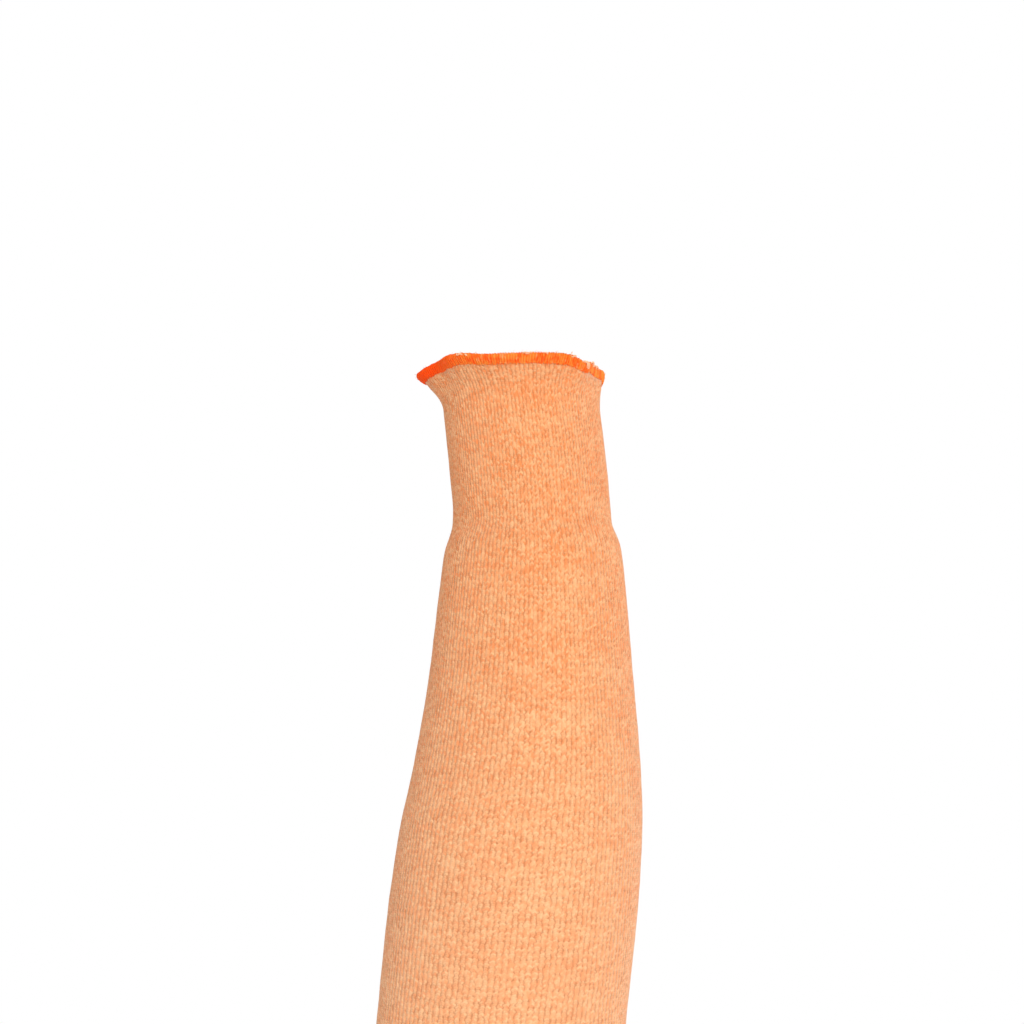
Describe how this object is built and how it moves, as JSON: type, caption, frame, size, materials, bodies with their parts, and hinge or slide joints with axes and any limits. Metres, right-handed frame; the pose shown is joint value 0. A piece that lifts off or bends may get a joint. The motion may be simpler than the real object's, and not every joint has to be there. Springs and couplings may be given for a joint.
{
  "type": "cut resistant sleeve",
  "caption": "Long knitted protective arm sleeve, open at both ends, narrow at the wrist with a ruffled edge and an overlocked rim at each end.",
  "frame": {"origin": "middle of the arm opening, in the plane of its edge, where the sleeve sits on the upper arm", "axes": "+Z along the arm towards the wrist, +X to the little finger's side, -Y to the back of the hand"},
  "size_m": [0.1446, 0.1204, 0.4576],
  "materials": {
    "knit": "fine orange and cream marl knit, matt",
    "overlock_thread": "bright orange overlock thread, matt"
  },
  "bodies": {
    "root": {"knit_tube": "knit", "wrist_overlock": "overlock_thread", "arm_overlock": "overlock_thread"}
  },
  "joints": []
}
